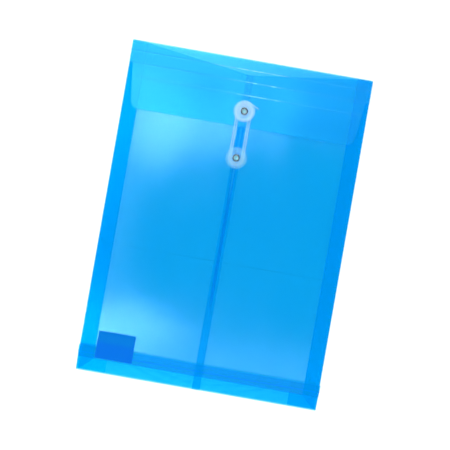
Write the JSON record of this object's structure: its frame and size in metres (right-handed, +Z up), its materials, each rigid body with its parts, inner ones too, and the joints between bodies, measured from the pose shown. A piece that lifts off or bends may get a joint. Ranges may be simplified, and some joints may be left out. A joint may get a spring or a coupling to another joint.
{
  "type": "string-tie envelope",
  "caption": "Flat gusseted envelope of translucent film with a scored flap, two button discs on eyelets, a wound tie string and a folded block bottom.",
  "frame": {"origin": "middle of the footprint on the table, under the envelope as it lies on its back", "axes": "+X to the right across the front, +Y towards the top fold that carries the flap, +Z up out of the front"},
  "size_m": [0.2422, 0.33, 0.0084],
  "materials": {
    "body_film": "translucent coloured film, satin",
    "flap_film": "translucent coloured film, satin, with score lines",
    "sticker_paper": "plain coated sticker, matt",
    "disc_plastic": "milky plastic, satin",
    "eyelet_metal": "plated, polished",
    "washer_plastic": "clear plastic, satin",
    "string_plastic": "milky plastic cord, satin"
  },
  "bodies": {
    "back": {"back_panel": "body_film", "label_patch": "sticker_paper", "flap_spine": "flap_film"},
    "front": {"front_left_half": "body_film", "front_right_half": "body_film", "lower_eyelet": "eyelet_metal", "lower_washer": "washer_plastic"},
    "gusset_left_back": {"gusset_left_back_leaf": "body_film"},
    "gusset_left_front": {"gusset_left_front_leaf": "body_film"},
    "gusset_right_back": {"gusset_right_back_leaf": "body_film"},
    "gusset_right_front": {"gusset_right_front_leaf": "body_film"},
    "tuck": {"tuck_strip": "body_film"},
    "bottom_panel": {"bottom_flap_front": "body_film", "bottom_flap_back": "body_film", "bottom_ear_left": "body_film", "bottom_ear_right": "body_film"},
    "flap_1": {"flap_strip_1": "flap_film"},
    "flap_2": {"flap_strip_2": "flap_film"},
    "flap_3": {"flap_strip_3": "flap_film"},
    "flap_end": {"flap_leaf": "flap_film", "upper_eyelet": "eyelet_metal", "upper_washer": "washer_plastic", "string": "string_plastic"},
    "disc_upper": {"upper_disc": "disc_plastic"},
    "disc_lower": {"lower_disc": "disc_plastic"}
  },
  "joints": [
    {"name": "expand", "type": "slide", "parent": "back", "child": "front", "axis": [0, 0, -1], "range_m": [-0.0235, 0], "deforming": ["gusset_left_back_leaf", "gusset_left_front_leaf", "gusset_right_back_leaf", "gusset_right_front_leaf", "flap_spine"]},
    {"name": "gusset_left_edge", "type": "hinge", "parent": "back", "child": "gusset_left_back", "pos_m": [-0.1199, 0, 0.00168], "axis": [0, 1, 0], "range_deg": [-50.8, 0]},
    {"name": "gusset_left_crease", "type": "hinge", "parent": "gusset_left_back", "child": "gusset_left_front", "pos_m": [-0.1046, 0, 0.00202], "axis": [0, 1, 0], "range_deg": [0, 101.6]},
    {"name": "gusset_right_edge", "type": "hinge", "parent": "back", "child": "gusset_right_back", "pos_m": [0.1199, 0, 0.00168], "axis": [0, -1, 0], "range_deg": [-50.8, 0]},
    {"name": "gusset_right_crease", "type": "hinge", "parent": "gusset_right_back", "child": "gusset_right_front", "pos_m": [0.1046, 0, 0.00202], "axis": [0, -1, 0], "range_deg": [0, 101.6]},
    {"name": "tuck_crease", "type": "hinge", "parent": "back", "child": "tuck", "pos_m": [0, -0.1525, 0.00133], "axis": [1, 0, 0], "range_deg": [-180, 0]},
    {"name": "bottom_crease", "type": "hinge", "parent": "tuck", "child": "bottom_panel", "pos_m": [0, -0.1402, 0.0008], "axis": [1, 0, 0], "range_deg": [0, 90]},
    {"name": "flap_open", "type": "hinge", "parent": "front", "child": "flap_1", "pos_m": [0, 0.1648, 0.00265], "axis": [-1, 0, 0], "range_deg": [0, 148], "deforming": ["string"]},
    {"name": "score_1", "type": "hinge", "parent": "flap_1", "child": "flap_2", "pos_m": [0, 0.1544, 0.0038], "axis": [-1, 0, 0], "range_deg": [0, 9]},
    {"name": "score_2", "type": "hinge", "parent": "flap_2", "child": "flap_3", "pos_m": [0, 0.1424, 0.0038], "axis": [-1, 0, 0], "range_deg": [0, 9]},
    {"name": "score_3", "type": "hinge", "parent": "flap_3", "child": "flap_end", "pos_m": [0, 0.1294, 0.0038], "axis": [-1, 0, 0], "range_deg": [0, 9]},
    {"name": "upper_disc_turn", "type": "hinge", "parent": "flap_end", "child": "disc_upper", "pos_m": [0, 0.1135, 0.0076], "axis": [0, 0, 1], "continuous": true},
    {"name": "lower_disc_turn", "type": "hinge", "parent": "front", "child": "disc_lower", "pos_m": [0, 0.067, 0.0049], "axis": [0, 0, 1], "continuous": true}
  ],
  "couplings": [
    {"joint": "gusset_left_edge", "follows": "expand", "rad_per_m": 37.65},
    {"joint": "gusset_left_crease", "follows": "expand", "rad_per_m": -75.3},
    {"joint": "gusset_right_edge", "follows": "expand", "rad_per_m": 37.65},
    {"joint": "gusset_right_crease", "follows": "expand", "rad_per_m": -75.3},
    {"joint": "tuck_crease", "follows": "expand", "rad_per_m": 133.6},
    {"joint": "bottom_crease", "follows": "expand", "rad_per_m": -66.8},
    {"joint": "score_1", "follows": "flap_open", "ratio": 0.0608},
    {"joint": "score_2", "follows": "flap_open", "ratio": 0.0608},
    {"joint": "score_3", "follows": "flap_open", "ratio": 0.0608}
  ]
}
